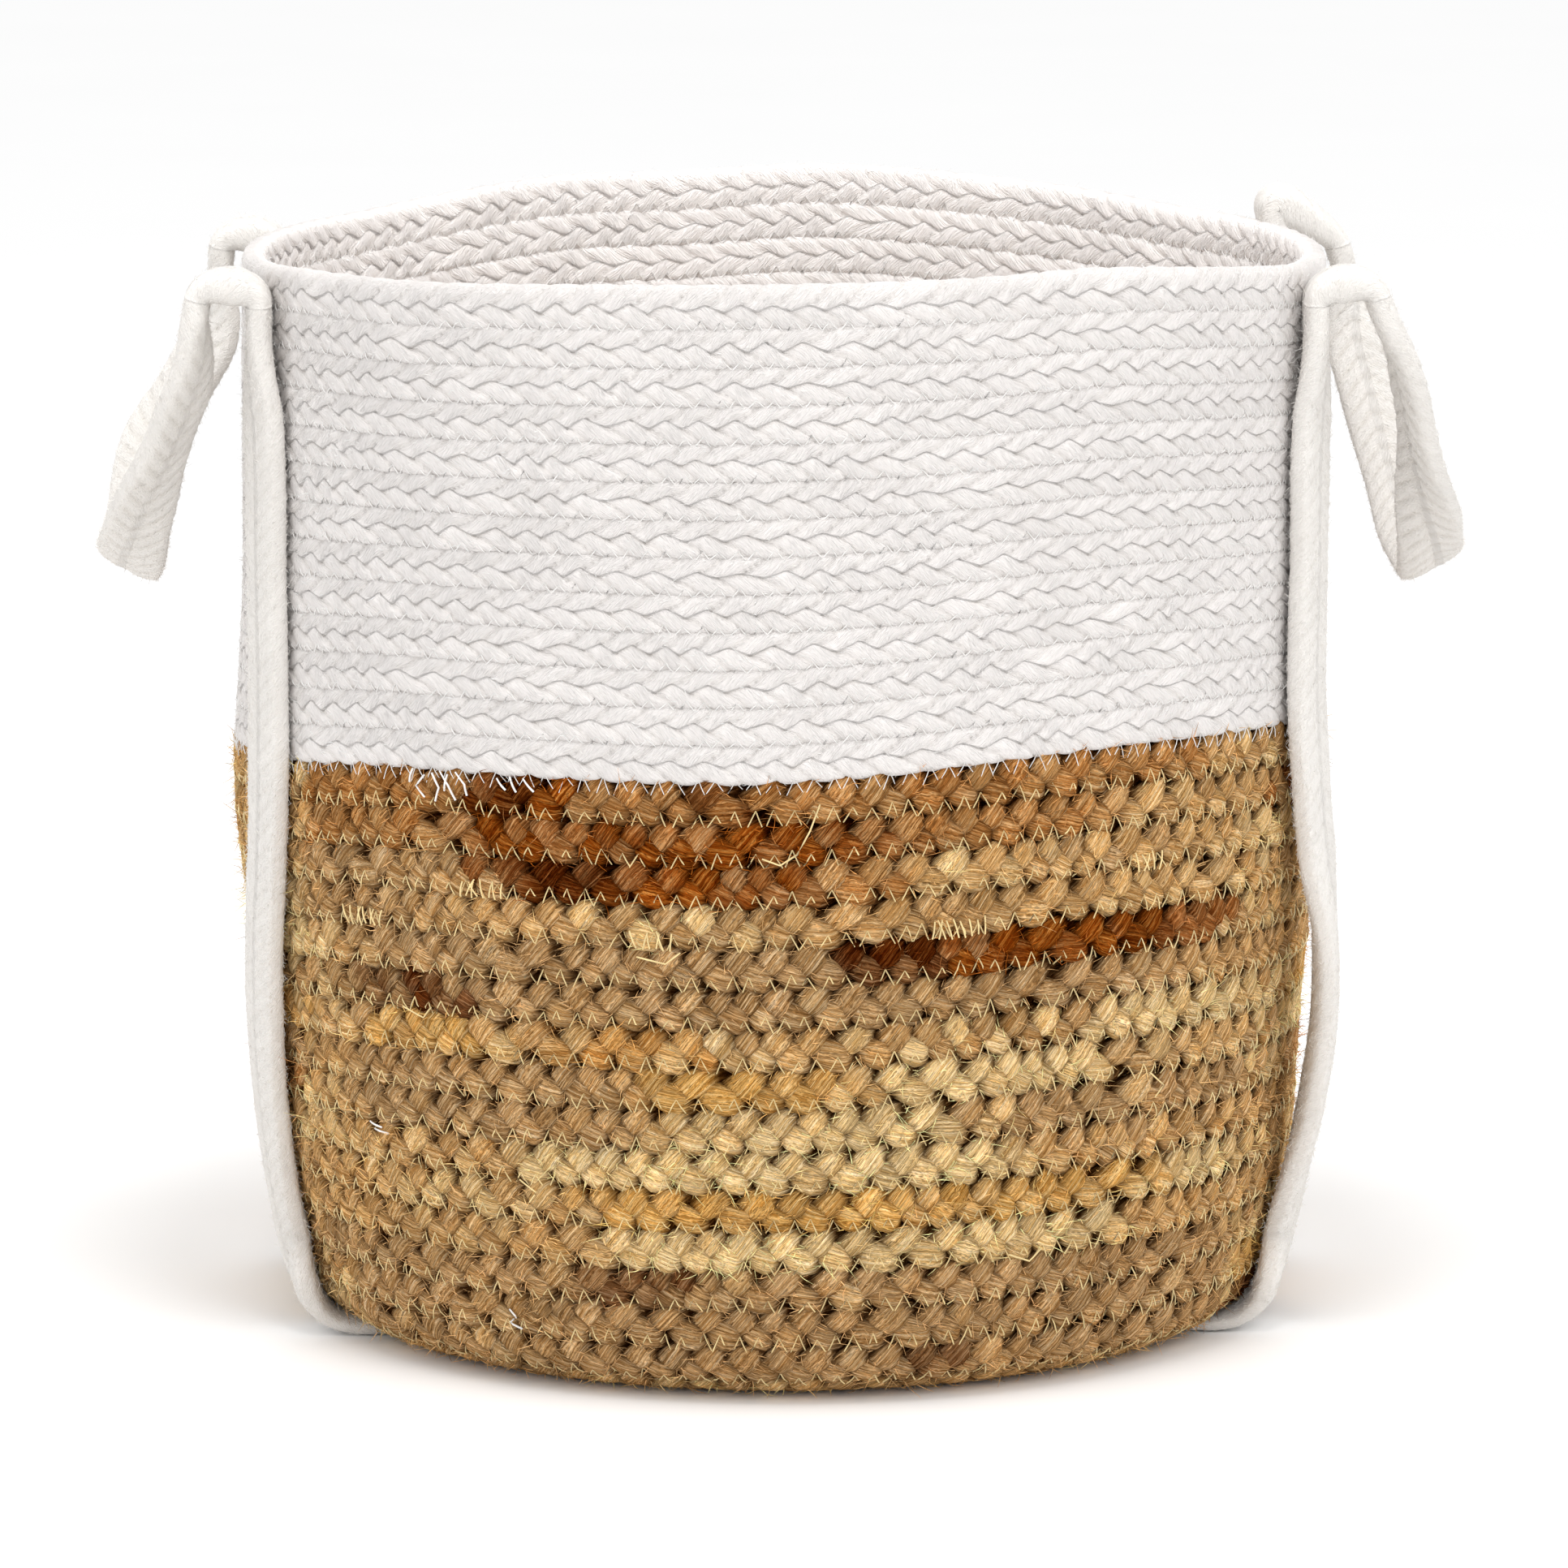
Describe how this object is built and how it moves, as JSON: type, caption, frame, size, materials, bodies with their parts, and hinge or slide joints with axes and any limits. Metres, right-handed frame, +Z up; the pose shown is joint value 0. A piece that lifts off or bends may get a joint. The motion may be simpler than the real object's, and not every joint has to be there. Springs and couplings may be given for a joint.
{
  "type": "woven laundry basket",
  "caption": "Round soft laundry basket of coiled flat braid, jute below and white cotton above, with two cotton strap handles that fold over the rim and hang outside.",
  "frame": {"origin": "on the floor under the centre of the round base", "axes": "+Z up, +Y to the back, handles at -X (left) and +X (right) as seen from the front"},
  "size_m": [0.504, 0.3972, 0.399],
  "materials": {
    "jute_braid": "matt hairy jute fibre, tan with rust, golden and grey-brown patches, zigzag sewn with pale yellow thread",
    "cotton_braid": "matt fluffy off-white cotton, zigzag sewn with white thread",
    "cotton_strap": "matt fluffy off-white cotton braid, wider and unsewn"
  },
  "bodies": {
    "basket": {"base_coil": "jute_braid", "jute_course_01": "jute_braid", "jute_course_02": "jute_braid", "jute_course_03": "jute_braid", "jute_course_04": "jute_braid", "jute_course_05": "jute_braid", "jute_course_06": "jute_braid", "jute_course_07": "jute_braid", "jute_course_08": "jute_braid", "jute_course_09": "jute_braid", "jute_course_10": "jute_braid", "jute_course_11": "jute_braid", "jute_course_12": "jute_braid", "jute_course_13": "jute_braid", "jute_course_14": "jute_braid", "jute_course_15": "jute_braid", "jute_course_16": "jute_braid", "cotton_course_01": "cotton_braid", "cotton_course_02": "cotton_braid", "cotton_course_03": "cotton_braid", "cotton_course_04": "cotton_braid", "cotton_course_05": "cotton_braid", "cotton_course_06": "cotton_braid", "cotton_course_07": "cotton_braid", "cotton_course_08": "cotton_braid", "cotton_course_09": "cotton_braid", "cotton_course_10": "cotton_braid", "cotton_course_11": "cotton_braid", "cotton_course_12": "cotton_braid", "cotton_course_13": "cotton_braid", "wall_strap_left_front": "cotton_strap", "wall_strap_left_rear": "cotton_strap", "wall_strap_right_front": "cotton_strap", "wall_strap_right_rear": "cotton_strap", "under_strap_front": "cotton_strap", "under_strap_rear": "cotton_strap", "strap_fold_left_front": "cotton_strap", "strap_fold_left_rear": "cotton_strap", "strap_fold_right_front": "cotton_strap", "strap_fold_right_rear": "cotton_strap"},
    "handle_left": {"handle_left": "cotton_strap"},
    "handle_right": {"handle_right": "cotton_strap"}
  },
  "joints": [
    {"name": "handle_left_lift", "type": "hinge", "parent": "basket", "child": "handle_left", "pos_m": [-0.2014, 0, 0.38], "axis": [0, 1, 0], "range_deg": [-10, 164], "deforming": ["strap_fold_left_front", "strap_fold_left_rear"]},
    {"name": "handle_right_lift", "type": "hinge", "parent": "basket", "child": "handle_right", "pos_m": [0.2014, 0, 0.38], "axis": [0, -1, 0], "range_deg": [-10, 164], "deforming": ["strap_fold_right_front", "strap_fold_right_rear"]}
  ]
}
